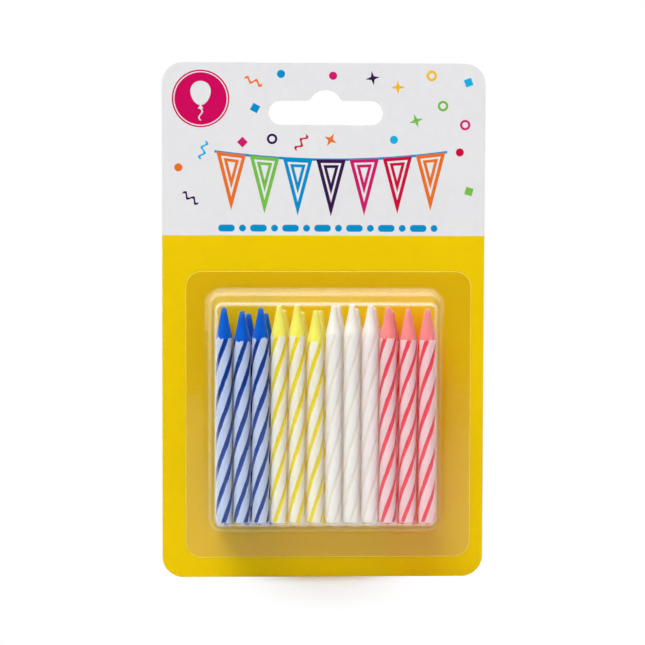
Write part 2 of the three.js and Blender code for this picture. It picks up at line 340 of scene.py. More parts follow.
# The badge's balloon, measured from the badge's middle
BALLOON_RISE = 1.5
BALLOON_HALF_WIDTH = 2.75
BALLOON_HALF_HEIGHT = 3.3
BALLOON_TAPER = 0.16
KNOT_DROP = 2.75
KNOT_HEIGHT = 1.25
KNOT_HALF_WIDTH = 0.75
STRING_DROP = 2.7
STRING_LENGTH = 3.3
STRING_SWAY = 0.45
STRING_HALF_WIDTH = 0.2
STRING_STEPS = 12
GARLAND_LEFT = -30.5
GARLAND_RIGHT = 33.5
GARLAND_TOP = -16.9
GARLAND_SAG = 2.2
GARLAND_CORD = 0.35
FLAG_INKS = ("orange", "green", "blue", "purple", "magenta", "crimson", "orange")
FLAG_HEIGHT = 15.6
FLAG_GAP = 1.0
FLAG_INSETS = (0, 0.95, 1.5, 2.3)
DOTS_Z = -37.9
DOTS_INSET = 1
DOTS_GAP = 1.15
DOT_RADIUS = 0.95
DASH_LENGTH = 4.6
# How wide the painted highlight is, a bright line printed on the card just inside the film's rim;
# the painted shadow outside it is half as wide
PAINTED_RIM_LINE = 0.26
CONFETTI_SEED = 12
CONFETTI_COUNT = 21
CONFETTI_TRIES = 6000
# How far a scrap's middle keeps from the next one's, from the card's sides and top, and from the
# header's lower border
CONFETTI_SPACE = 7.2
CONFETTI_ASIDE = 3.6
CONFETTI_BELOW_TOP = 3
CONFETTI_OVER_LINE = 3.2
# How far it keeps from the badge, from the slot's ends and the garland's, and over the garland,
# and the heights between which it keeps from the slot
BADGE_CLEAR = 3.2
SLOT_CLEAR = 3
SLOT_CLEAR_LOW = -13
SLOT_CLEAR_HIGH = 3.2
GARLAND_CLEAR_ASIDE = 2.6
GARLAND_CLEAR_ABOVE = 3
# The scraps' sizes
RING_RADII = (1.45, 0.8)
SQUARE_SIDE = 2.1
STREAMER_LENGTH = 5.2
STREAMER_WAVE = 0.6
STREAMER_BENDS = 2.4
STREAMER_HALF_WIDTH = 0.36
STREAMER_STEPS = 16
SPARKLE_REACHES = (2, 0.62)
SCRAP_RADIUS = 1.12
CONFETTI_INKS = ("orange", "green", "sky", "purple", "magenta", "crimson", "gold", "blue")


def slot_outline(grow):
    """The hang slot's outline, anticlockwise, grown by an amount all round."""
    end_radius = SLOT_HEIGHT / 2 + grow
    top = -SLOT_DOME_RISE
    end_x = SLOT_WIDTH / 2 - SLOT_HEIGHT / 2
    end_z = top - SLOT_HEIGHT / 2
    dome_radius = SLOT_DOME_RADIUS + grow
    fillet = SLOT_DOME_FILLET - grow
    fillet_z = top + SLOT_DOME_FILLET
    rise = fillet_z + SLOT_DOME_RADIUS
    fillet_x = math.sqrt((SLOT_DOME_RADIUS + SLOT_DOME_FILLET) ** 2 - rise ** 2)
    start = math.degrees(math.atan2(rise, fillet_x))
    steps = CARD_ARC_STEPS
    return (
        arc(end_x, end_z, end_radius, -90, 90, 2 * steps)
        + arc(fillet_x, fillet_z, fillet, -90, start - 180, steps // 2)
        + arc(0, -SLOT_DOME_RADIUS, dome_radius, start, 180 - start, 2 * steps)
        + arc(-fillet_x, fillet_z, fillet, -start, -90, steps // 2)
        + arc(-end_x, end_z, end_radius, 90, 270, 2 * steps)
    )


def disc(x, z, radius, steps=40):
    return arc(x, z, radius, 0, 360 - 360 / steps, steps - 1)


def triangle_inset(corners, inset):
    """A triangle drawn in towards the middle of its inscribed circle."""
    a, b, c = [Vector(corner) for corner in corners]
    sides = ((b - c).length, (c - a).length, (a - b).length)
    around = sum(sides)
    middle = (a * sides[0] + b * sides[1] + c * sides[2]) / around
    area = abs((b - a).cross(c - a)) / 2
    share = 1 - inset * around / (2 * area)
    return [tuple(middle + (corner - middle) * share) for corner in (a, b, c)]


def garland_height(x):
    middle = (GARLAND_LEFT + GARLAND_RIGHT) / 2
    share = (x - middle) / ((GARLAND_RIGHT - GARLAND_LEFT) / 2)
    return GARLAND_TOP - GARLAND_SAG * (1 - share * share)


def garland_shapes():
    """A cord in a shallow curve and seven flags on it, each drawn with a double line."""
    shapes = []
    steps = 32
    across = [GARLAND_LEFT + (GARLAND_RIGHT - GARLAND_LEFT) * i / steps for i in range(steps + 1)]
    upper = [(x, garland_height(x) + GARLAND_CORD) for x in reversed(across)]
    lower = [(x, garland_height(x) - GARLAND_CORD) for x in across]
    shapes.append((lower + upper, "blue"))
    pitch = (GARLAND_RIGHT - GARLAND_LEFT) / len(FLAG_INKS)
    for place, ink in enumerate(FLAG_INKS):
        left = GARLAND_LEFT + pitch * place + FLAG_GAP / 2
        right = left + pitch - FLAG_GAP
        drop = (garland_height(left) + garland_height(right)) / 2 - FLAG_HEIGHT
        corners = [(left, garland_height(left)), ((left + right) / 2, drop)]
        corners.append((right, garland_height(right)))
        for turn, inset in enumerate(FLAG_INSETS):
            colour = "paper" if turn % 2 else ink
            shapes.append((triangle_inset(corners, inset), colour))
    return shapes


def dotted_shapes():
    """A line of dashes and dots under the garland."""
    shapes = []
    x = GARLAND_LEFT + DOTS_INSET
    while x + DASH_LENGTH < GARLAND_RIGHT:
        dash = rounded_box(
            x, x + DASH_LENGTH, DOTS_Z - DOT_RADIUS, DOTS_Z + DOT_RADIUS, DOT_RADIUS, 6
        )
        shapes.append((dash, "blue"))
        x += DASH_LENGTH + DOTS_GAP
        shapes.append((disc(x + DOT_RADIUS, DOTS_Z, DOT_RADIUS, 20), "blue"))
        x += 2 * DOT_RADIUS + DOTS_GAP
    return shapes


def badge_shapes():
    """A roundel with a thin ring, and a plain balloon on its string in the middle."""
    x, z = BADGE
    steps = 48
    balloon, string_left, string_right = [], [], []
    for step in range(steps):
        turn = 2 * math.pi * step / steps
        taper = 1 + BALLOON_TAPER * math.sin(turn)
        balloon.append((x + BALLOON_HALF_WIDTH * math.cos(turn) * taper,
                        z + BALLOON_RISE + BALLOON_HALF_HEIGHT * math.sin(turn)))
    low = z - KNOT_DROP
    knot = [(x - KNOT_HALF_WIDTH, low), (x + KNOT_HALF_WIDTH, low), (x, low + KNOT_HEIGHT)]
    for step in range(STRING_STEPS + 1):
        down = z - STRING_DROP - STRING_LENGTH * step / STRING_STEPS
        sway = x + STRING_SWAY * math.sin(2 * math.pi * step / STRING_STEPS)
        string_left.append((sway - STRING_HALF_WIDTH, down))
        string_right.append((sway + STRING_HALF_WIDTH, down))
    return [
        (disc(x, z, BADGE_RADIUS, 72), "badge"),
        (disc(x, z, BADGE_RING_OUTER, 72), "paper"),
        (disc(x, z, BADGE_RING_INNER, 72), "badge"),
        (balloon, "paper"),
        (knot, "paper"),
        (string_left + string_right[::-1], "paper"),
    ]


def confetti_shape(kind, x, z, turn):
    """One scrap of confetti: a ring, a square, a streamer, a four-pointed sparkle or a disc."""
    def placed(points):
        cos, sin = math.cos(turn), math.sin(turn)
        return [(x + a * cos - b * sin, z + a * sin + b * cos) for a, b in points]
    if kind == "ring":
        return [disc(x, z, radius, 28) for radius in RING_RADII]
    if kind == "square":
        half = SQUARE_SIDE / 2
        return [placed(((-half, -half), (half, -half), (half, half), (-half, half)))]
    if kind == "streamer":
        steps = STREAMER_STEPS
        ways = [(i / steps - 0.5) * STREAMER_LENGTH for i in range(steps + 1)]
        curve = [(way, STREAMER_WAVE * math.sin(way * STREAMER_BENDS)) for way in ways]
        upper = [(a, b + STREAMER_HALF_WIDTH) for a, b in reversed(curve)]
        lower = [(a, b - STREAMER_HALF_WIDTH) for a, b in curve]
        return [placed(lower + upper)]
    if kind == "sparkle":
        points = []
        for corner in range(8):
            reach = SPARKLE_REACHES[corner % 2]
            points.append((reach * math.cos(corner * math.pi / 4),
                           reach * math.sin(corner * math.pi / 4)))
        return [placed(points)]
    return [disc(x, z, SCRAP_RADIUS, 24)]


def keeps_clear(x, z, placed):
    """True where a scrap lies in the header and off everything else that is printed there."""
    if math.hypot(x - BADGE[0], z - BADGE[1]) < BADGE_RADIUS + BADGE_CLEAR:
        return False
    if abs(x) < SLOT_WIDTH / 2 + SLOT_CLEAR and SLOT_CLEAR_LOW < z < SLOT_CLEAR_HIGH:
        return False
    in_garland = GARLAND_LEFT - GARLAND_CLEAR_ASIDE < x < GARLAND_RIGHT + GARLAND_CLEAR_ASIDE
    if in_garland and z < GARLAND_TOP + GARLAND_CLEAR_ABOVE - GARLAND_SAG / 2:
        return False
    return all(math.hypot(x - a, z - b) > CONFETTI_SPACE for a, b in placed)


def confetti_shapes():
    draw = random.Random(CONFETTI_SEED)
    kinds = ("disc", "sparkle", "square", "streamer", "ring")
    placed, shapes = [], []
    tries = 0
    while len(placed) < CONFETTI_COUNT and tries < CONFETTI_TRIES:
        tries += 1
        x = draw.uniform(card_low.x + CONFETTI_ASIDE, card_high.x - CONFETTI_ASIDE)
        z = draw.uniform(HEADER_LINE + CONFETTI_OVER_LINE, card_high.z - CONFETTI_BELOW_TOP)
        if not keeps_clear(x, z, placed):
            continue
        ink = CONFETTI_INKS[len(placed) % len(CONFETTI_INKS)]
        kind = kinds[len(placed) % len(kinds)]
        parts = confetti_shape(kind, x, z, draw.uniform(0, math.pi))
        shapes.append((parts[0], ink))
        for hole in parts[1:]:
            shapes.append((hole, "paper"))
        placed.append((x, z))
    return shapes


def under_film(inset):
    """The film's outline on the card, drawn in by an amount all round."""
    return rounded_box(
        film_low.x + inset, film_high.x - inset, film_low.z + inset, film_high.z - inset,
        FLANGE_CORNER - inset, CARD_ARC_STEPS,
    )


def card_print():
    """The printed front as triangles, with the painted light round the film. Gives its
    points, triangles and one colour for each.
    """
    inset = CARD_EDGE_ROUND
    outline = rounded_box(
        card_low.x + inset, card_high.x - inset, card_low.z + inset, card_high.z - inset,
        CARD_CORNER - inset, CARD_ARC_STEPS,
    )
    beyond = 5
    body = [
        (card_low.x - beyond, card_low.z - beyond), (card_high.x + beyond, card_low.z - beyond),
        (card_high.x + beyond, HEADER_LINE), (card_low.x - beyond, HEADER_LINE),
    ]
    left, right, bottom, top = pocket_box
    inside = rounded_box(left, right, bottom, top, FOOT_CORNER, CARD_ARC_STEPS)
    layers = [(outline, "paper"), (body, "yellow")]
    # Painted light and shade round the film: a thin painted shadow outside its edge, a painted
    # highlight inside it, painted shade under the flange and painted light inside the pocket
    layers += [(under_film(-PAINTED_RIM_LINE / 2), "painted_rim_shadow"), (under_film(0), "painted_rim_highlight")]
    layers += [(under_film(PAINTED_RIM_LINE), "painted_flange_shade"), (inside, "inside")]
    layers += badge_shapes() + garland_shapes() + dotted_shapes() + confetti_shapes()
    layers.append((slot_outline(inset), "hole"))
    points, faces = [], []
    for shape, ink in layers:
        faces.append(list(range(len(points), len(points) + len(shape))))
        points += [Vector(point) for point in shape]
    found = delaunay_2d_cdt(points, [], faces, 1, 1e-5)
    slot = len(layers) - 1
    triangles, inks = [], []
    for triangle, sources in zip(found[2], found[5]):
        if 0 in sources and slot not in sources:
            triangles.append(tuple(triangle))
            inks.append(layers[max(sources)][1])
    used = sorted({corner for triangle in triangles for corner in triangle})
    place = {corner: index for index, corner in enumerate(used)}
    triangles = [tuple(place[corner] for corner in triangle) for triangle in triangles]
    return [found[0][corner] for corner in used], triangles, inks


def outward_shifts(flat, borders):
    """For each point on a border, the way out of the card, square to the border."""
    shifts = {}
    for start, end in borders:
        along = (flat[end] - flat[start]).normalized()
        out = Vector((along.y, -along.x))
        for corner in (start, end):
            shifts[corner] = shifts.get(corner, Vector((0, 0))) + out
    return {corner: shift.normalized() for corner, shift in shifts.items()}


def card_piece():
    flat, triangles, inks = card_print()
    sides = {}
    for a, b, c in triangles:
        for start, end in ((a, b), (b, c), (c, a)):
            sides[start, end] = True
    borders = [side for side in sides if (side[1], side[0]) not in sides]
    shifts = outward_shifts(flat, borders)
    count = len(flat)
    points = [(p.x, CARD_FRONT, p.y) for p in flat] + [(p.x, CARD_BACK, p.y) for p in flat]
    front_rim, back_rim = {}, {}
    for corner, shift in shifts.items():
        edge = flat[corner] + shift * CARD_EDGE_ROUND
        front_rim[corner] = len(points)
        points.append((edge.x, CARD_FRONT + CARD_EDGE_ROUND, edge.y))
        back_rim[corner] = len(points)
        points.append((edge.x, CARD_BACK - CARD_EDGE_ROUND, edge.y))
    faces = list(triangles)
    faces += [(a + count, c + count, b + count) for a, b, c in triangles]
    for start, end in borders:
        faces.append((end, start, front_rim[start], front_rim[end]))
        faces.append((front_rim[end], front_rim[start], back_rim[start], back_rim[end]))
        faces.append((back_rim[end], back_rim[start], start + count, end + count))
    piece = make_piece("printed_card", points, faces, [card_front(), card_back(), card_edge()])
    fronts = len(triangles)
    corner_inks = []
    for index, polygon in enumerate(piece.data.polygons):
        polygon.material_index = 0 if index < fronts else 1 if index < 2 * fronts else 2
        ink = CARD_COLOURS[inks[index]] if index < fronts else CARD_COLOURS["paper"]
        corner_inks += [ink] * polygon.loop_total
    # The ink attribute carries the print and the painted light and shade round the film
    store(piece, "ink", "FLOAT_COLOR", "CORNER", corner_inks)
    return piece


# How much of what stands round it the coated print mirrors, and how much bare board and cotton do
PRINT_MIRRORS = 0.06
DULL_MIRRORS = 0.3


def card_front():
    """Coated board: flat inks and the painted light round the film, with a faint mottle,
    over fine fibres and a slight waviness.
    """
    material, tree = new_tree("printed_board")
    where = add(tree, "ShaderNodeTexCoord").outputs["Object"]
    ink = attribute(tree, "ink").outputs["Color"]
    mottle = noise(tree, where, 420, 4, 0.6)
    cloud = noise(tree, where, 45, 2)
    shade = smooth_step(tree, mottle, 0.25, 0.75, 0.975, 1.0)
    shade = maths(tree, "MULTIPLY", shade, smooth_step(tree, cloud, 0.3, 0.7, 0.985, 1.0))
    colour = mix_colour(tree, 1.0, ink, shade, "MULTIPLY")
    fibres = noise(tree, scaled(tree, where, (1, 1, 0.35)), 2600, 3, 0.6)
    waves = noise(tree, where, 60, 1)
    normal = bump(tree, fibres, 0.000012, 0.5)
    normal = bump(tree, waves, 0.0003, 0.12, normal)
    rough = smooth_step(tree, mottle, 0.2, 0.8, 0.36, 0.46)
    shader = add(tree, "ShaderNodeBsdfPrincipled", {
        "Base Color": colour, "Roughness": rough, "Normal": normal,
        "Specular IOR Level": PRINT_MIRRORS,
    })
    return finish_material(material, tree, shader.outputs[0])


def card_back():
    """Uncoated board: warm grey white with a soft cloud and short fibre flecks."""
    material, tree = new_tree("board_back")
    where = add(tree, "ShaderNodeTexCoord").outputs["Object"]
    cloud = noise(tree, where, 70, 4, 0.6)
    colour = mix_colour(tree, cloud, srgb(214, 208, 196), srgb(228, 223, 213))
    flecks = noise(tree, scaled(tree, where, (1, 1, 0.3)), 900, 2, 0.7)
    share = smooth_step(tree, flecks, 0.66, 0.74, 0, 0.35)
    colour = mix_colour(tree, share, colour, srgb(150, 138, 120))
    pale = noise(tree, scaled(tree, where, (0.3, 1, 1)), 1100, 2, 0.7)
    colour = mix_colour(tree, smooth_step(tree, pale, 0.68, 0.76, 0, 0.4), colour,
                        srgb(244, 241, 233))
    fibres = noise(tree, where, 2400, 4, 0.65)
    normal = bump(tree, fibres, 0.00003, 0.6)
    rough = smooth_step(tree, cloud, 0.2, 0.8, 0.78, 0.9)
    shader = add(tree, "ShaderNodeBsdfPrincipled", {
        "Base Color": colour, "Roughness": rough, "Normal": normal,
        "Specular IOR Level": DULL_MIRRORS,
    })
    return finish_material(material, tree, shader.outputs[0])


def card_edge():
    """The cut edge: pale layers of board."""
    material, tree = new_tree("board_edge")
    where = add(tree, "ShaderNodeTexCoord").outputs["Object"]
    layers = noise(tree, scaled(tree, where, (0.15, 6, 0.15)), 900, 3, 0.6)
    colour = mix_colour(tree, layers, srgb(198, 190, 170), srgb(236, 232, 222))
    normal = bump(tree, layers, 0.00003, 0.6)
    shader = add(tree, "ShaderNodeBsdfPrincipled", {
        "Base Color": colour, "Roughness": 0.85, "Normal": normal,
        "Specular IOR Level": DULL_MIRRORS,
    })
    return finish_material(material, tree, shader.outputs[0])


# Blister

class Skin:
    """One face of the film: where its flange and its pocket's face lie, and its fillets."""

    def __init__(self, flange, face, foot_fillet, face_fillet, film):
        self.flange = flange
        self.face = face
        self.foot_fillet = foot_fillet
        self.face_fillet = face_fillet
        self.film = film

    def line_inset(self, slope, depth):
        return (depth - self.flange) * slope

    def inset(self, slope, depth):
        """How far the wall has leaned in at a depth."""
        lean = math.atan(slope)
        shift = self.film * (math.hypot(1, slope) - slope)
        foot_end = self.flange + self.foot_fillet * (1 - math.sin(lean))
        face_start = self.face - self.face_fillet * (1 - math.sin(lean))
        if depth < foot_end:
            along = (self.foot_fillet - depth + self.flange) / self.foot_fillet
            start = self.line_inset(slope, foot_end) - self.foot_fillet * math.cos(lean)
            return shift + start + self.foot_fillet * math.sqrt(max(0, 1 - along * along))
        if depth > face_start:
            along = (depth - self.face + self.face_fillet) / self.face_fillet
            end = self.line_inset(slope, face_start) + self.face_fillet * math.cos(lean)
            return shift + end - self.face_fillet * math.sqrt(max(0, 1 - along * along))
        return shift + self.line_inset(slope, depth)

    def corner(self, depth):
        """The radius of the pocket's corners, which tighten from the foot to the face."""
        share = min(max(depth / POCKET_FACE_DEPTH, 0), 1)
        radius = FOOT_CORNER + (FACE_CORNER - FOOT_CORNER) * share
        extra = self.inset(SIDE_SLOPE, depth) - self.line_inset(SIDE_SLOPE, depth)
        return max(radius - extra, FILM)

    def depths(self):
        """Depths of the rings, close together in the fillets and on either side of them, each
        with how milky the film is there."""
        sweep = math.pi / 2 - math.atan(SIDE_SLOPE)
        foot, face = [], []
        for step in range(FILLET_STEPS + 1):
            share = step / FILLET_STEPS
            risen = 1 - math.cos(sweep * share)
            foot.append((self.flange + self.foot_fillet * risen, FOOT_HAZE * share ** 3))
            haze = FACE_HAZE * math.sin(math.pi * share * share) + WALL_HAZE * share
            face.insert(0, (self.face - self.face_fillet * risen, haze))
        reach = foot[-1][0] + FOOT_HAZE_REACH
        wall = [(reach, FOOT_HAZE), (reach + SUPPORT, WALL_HAZE), (face[0][0] - SUPPORT, WALL_HAZE)]
        return foot + wall + face


outer_skin = Skin(SEAL_GAP + FILM, POCKET_FACE_DEPTH, FOOT_FILLET, FACE_FILLET, 0)
inner_skin = Skin(SEAL_GAP, POCKET_FACE_DEPTH - FILM, FOOT_FILLET + FILM, FACE_FILLET - FILM, FILM)


def film_ring(box, inset_x, inset_z, radius, depth):
    left, right, bottom, top = box
    outline = rounded_box(
        left + inset_x, right - inset_x, bottom + inset_z, top - inset_z, radius,
        FILM_CORNER_STEPS,
    )
    return [(x, CARD_FRONT - depth, z) for x, z in outline]


def skin_rings(skin):
    """The skin's rings from just outside the pocket's foot to just inside the face's edge, each
    with how milky it is."""
    def ring(depth, more=0):
        side = skin.inset(SIDE_SLOPE, depth) + more
        end = skin.inset(END_SLOPE, depth) + more
        return film_ring(pocket_box, side, end, max(skin.corner(depth) - more, 0.05), depth)
    rings = [(ring(skin.flange, -SUPPORT), 0)]
    rings += [(ring(depth), haze) for depth, haze in skin.depths()]
    rings.append((ring(skin.face, SUPPORT), 0))
    return rings


def blister_piece():
    flange_box = (film_low.x, film_high.x, film_low.z, film_high.z)
    back, front = SEAL_GAP, SEAL_GAP + FILM
    rim = []
    for inset, depth in (
        (RIM_ROUND + SUPPORT, back), (RIM_ROUND, back), (0, back + RIM_ROUND),
        (0, front - RIM_ROUND), (RIM_ROUND, front), (RIM_ROUND + SUPPORT, front),
    ):
        rim.append((film_ring(flange_box, inset, inset, FLANGE_CORNER - inset, depth), 0))
    rings = skin_rings(inner_skin)[::-1] + rim + skin_rings(outer_skin)
    points, faces = loft([ring for ring, haze in rings])
    piece = make_piece("clear_blister", points, faces, [film_material()])
    piece.data.polygons.foreach_set("use_smooth", [True] * len(piece.data.polygons))
    store(piece, "haze", "FLOAT_VECTOR", "POINT",
          [(haze, 0, 0) for ring, haze in rings for point in ring])
    return piece


def film_material():
    """Clear film with a faint waviness, which mirrors more the more it is seen along its face.
    It is a little milky where forming has bent and stretched it."""
    material, tree = new_tree("clear_film")
    where = add(tree, "ShaderNodeTexCoord").outputs["Object"]
    waves = noise(tree, where, 38, 1)
    ripples = noise(tree, scaled(tree, where, (1, 1, 2.5)), 160, 2)
    normal = bump(tree, waves, 0.0012, 0.35)
    normal = bump(tree, ripples, 0.0001, 0.25, normal)
    rough = smooth_step(tree, noise(tree, where, 90, 3), 0.3, 0.8, 0.03, 0.11)
    weight = add(tree, "ShaderNodeLayerWeight", {"Blend": 0.5, "Normal": normal})
    graze = maths(tree, "POWER", weight.outputs["Facing"], FILM_GRAZE)
    share = maths(tree, "MULTIPLY_ADD", graze, 1 - FILM_HEAD_ON, FILM_HEAD_ON)
    clear = add(tree, "ShaderNodeBsdfTransparent", {"Color": FILM_TINT})
    mirror = add(tree, "ShaderNodeBsdfAnisotropic", {"Roughness": rough, "Normal": normal})
    film = add(tree, "ShaderNodeMixShader", {0: share, 1: clear.outputs[0], 2: mirror.outputs[0]})
    haze = add(tree, "ShaderNodeSeparateXYZ", {0: attribute(tree, "haze").outputs["Vector"]})
    milk = add(tree, "ShaderNodeBsdfDiffuse", {"Color": FILM_MILK})
    cloudy = add(tree, "ShaderNodeMixShader", {
        0: haze.outputs[0], 1: film.outputs[0], 2: milk.outputs[0],
    })
    path = add(tree, "ShaderNodeLightPath")
    whole = add(tree, "ShaderNodeMixShader", {
        0: path.outputs["Is Shadow Ray"], 1: cloudy.outputs[0], 2: clear.outputs[0],
    })
    return finish_material(material, tree, whole.outputs[0])


# Candles

WAX = {
    # land, stripe, tip, half the stripe's width, how far the dip reaches below the shoulder and
    # how ragged its border is, in millimetres
    "blue": (srgb(197, 213, 248), srgb(6, 66, 160), srgb(0, 98, 208), 0.68, -0.15, 2.4),
    "yellow": (srgb(255, 248, 228), srgb(251, 224, 48), srgb(255, 242, 110), 0.62, 0.15, 1),
    "white": (srgb(248, 247, 245), srgb(243, 239, 231), srgb(250, 247, 238), 0.6, -0.5, 0.8),
    "pink": (srgb(255, 214, 220), srgb(250, 84, 102), srgb(255, 147, 148), 0.64, 0, 0.5),
}
# How soft a stripe's border is, how far below the end a tip begins to pale, and by how much
STRIPE_SOFT = 0.1
TIP_PALE_REACH = 2.2
TIP_PALING = 0.12
WAX_SURFACE = {
    "IOR": 1.44, "Specular IOR Level": 0.08, "Subsurface Weight": 1.0,
    "Subsurface Radius": (1.0, 0.9, 0.9), "Subsurface Scale": 0.0028,
    "Sheen Weight": 0.35, "Sheen Roughness": 0.4,
}
# The share of a stripe's colour in the light that passes through a candle's body
STRIPE_SHARE = {"blue": 0.5, "yellow": 0.25, "white": 0.25, "pink": 0.35}
# How much light gets through one side of a tip, and through one side of the body: light from
# nearby surfaces, and light from a lamp
TIP_PASSES = 0.97
BODY_PASSES = {"Is Diffuse Ray": 0.97, "Is Shadow Ray": 0.79}


def blend(first, second, share, level=1.0):
    """A colour between two others, dimmed to a level."""
    return tuple((a + (b - a) * share) * level for a, b in zip(first[:3], second[:3])) + (1,)


def groove_angles():
    """The angles of a ring's points from its first groove, each with its angle off a groove."""
    pitch = 360 / GROOVES
    offsets = [-angle for angle in reversed(GROOVE_POINTS[1:-1])] + list(GROOVE_POINTS)
    angles = []
    for groove in range(GROOVES):
        angles += [(groove * pitch + offset, abs(offset)) for offset in offsets]
    return angles


ANGLES = groove_angles()


def groove_radius(offset):
    """The bar's radius at an angle off a groove: a round hollow between full lands."""
    across = math.radians(offset) * CANDLE_RADIUS / (GROOVE_WIDTH / 2)
    if across >= GROOVE_SPREAD:
        return CANDLE_RADIUS
    hollow = 0.5 + 0.5 * math.cos(math.pi * across / GROOVE_SPREAD)
    return CANDLE_RADIUS - GROOVE_DEPTH * hollow


def tip_radius(rise):
    """The tip's radius at a height over the shoulder, on a smooth curve through its outline."""
    for (low, start, leave), (high, end, arrive) in zip(TIP_CURVE, TIP_CURVE[1:]):
        if rise <= high:
            break
    span = high - low
    part = (rise - low) / span
    left = 1 - part
    held = start * (1 + 2 * part) * left * left + end * (3 - 2 * part) * part * part
    return held + span * part * left * (leave * left - arrive * part)


def wax_ring(height, helix, share, radius=None):
    """One ring of the wax. helix is where the first groove starts and its lead, share fades
    the grooves out, and radius gives a round ring."""
    start, lead = helix
    ring = []
    for angle, offset in ANGLES:
        full = CANDLE_RADIUS if radius is None else radius
        reach = full - (CANDLE_RADIUS - groove_radius(offset)) * share
        turn = math.radians(start + angle + 360 * height / lead)
        ring.append((reach * math.cos(turn), reach * math.sin(turn), height))
    return ring


def wax_rings(length, helix):
    shoulder = length - TIP_HEIGHT
    rings = [wax_ring(0, helix, 0, BORE_RADIUS)]
    rings.append(wax_ring(0, helix, 0, BORE_RADIUS * BORE_SUPPORT))
    flat = CANDLE_RADIUS - FOOT_BEVEL - FOOT_FLAT_INSET
    rings.append(wax_ring(0, helix, FOOT_GROOVES, flat))
    for step in range(FOOT_BEVEL_STEPS + 1):
        part = step / FOOT_BEVEL_STEPS
        inset = FOOT_BEVEL * (1 - math.sin(math.pi / 2 * part))
        rise = FOOT_BEVEL * (1 - math.cos(math.pi / 2 * part))
        depth = FOOT_GROOVES + (1 - FOOT_GROOVES) * part
        rings.append(wax_ring(rise, helix, depth, CANDLE_RADIUS - inset))
    steps = round((shoulder - 2 * FOOT_BEVEL) / RING_STEP)
    for step in range(1, steps + 1):
        height = FOOT_BEVEL + (shoulder - FOOT_BEVEL) * step / steps
        rings.append(wax_ring(height, helix, 1))
    top = TIP_HEIGHT - TIP_END_ROUND
    for step in range(1, TIP_STEPS + 1):
        rise = top * step / TIP_STEPS
        fade = max(0, 1 - rise / TIP_FADE)
        rings.append(wax_ring(shoulder + rise, helix, fade, tip_radius(rise)))
    end = tip_radius(TIP_HEIGHT)
    eased = TIP_END_ROUND * TIP_END_EASE
    rings.append(wax_ring(length - eased, helix, 0, end - eased))
    rings.append(wax_ring(length, helix, 0, end - TIP_END_ROUND))
    rings.append(wax_ring(length, helix, 0, BORE_RADIUS))
    down = math.ceil(length / BORE_STEP)
    for step in range(1, down):
        rings.append(wax_ring(length * (1 - step / down), helix, 0, BORE_RADIUS))
    return rings


def wax_piece(label, place, length, helix, material, serial):
    """One candle's wax. It carries what its shader needs at each point: how far off a stripe
    it is, how high over the foot and over the shoulder, a place in the wax's grain and the
    painted tint of light from its neighbour, plain white on all but one."""
    points, faces = loft(wax_rings(length, helix), closed=True)
    piece = make_piece(f"wax_{label}", points, faces, [material], place)
    piece.data.polygons.foreach_set("use_smooth", [True] * len(piece.data.polygons))
    shoulder = length - TIP_HEIGHT
    marks, grain = [], []
    for index, (x, y, z) in enumerate(points):
        offset = ANGLES[index % len(ANGLES)][1]
        marks.append((math.radians(offset) * CANDLE_RADIUS, z, z - shoulder))
        grain.append((x + serial * GRAIN_SHIFT[0], y + serial * GRAIN_SHIFT[1], z))
    store(piece, "marks", "FLOAT_VECTOR", "POINT", marks)
    store(piece, "grain", "FLOAT_VECTOR", "POINT", grain)
    # Painted pink light on the one white candle that stands beside the pinks
    cast = PAINTED_PINK_LIGHT if label.endswith(PINK_LIT_CANDLE) else (1, 1, 1, 1)
    store(piece, "cast", "FLOAT_COLOR", "POINT", [cast] * len(points))
    return piece


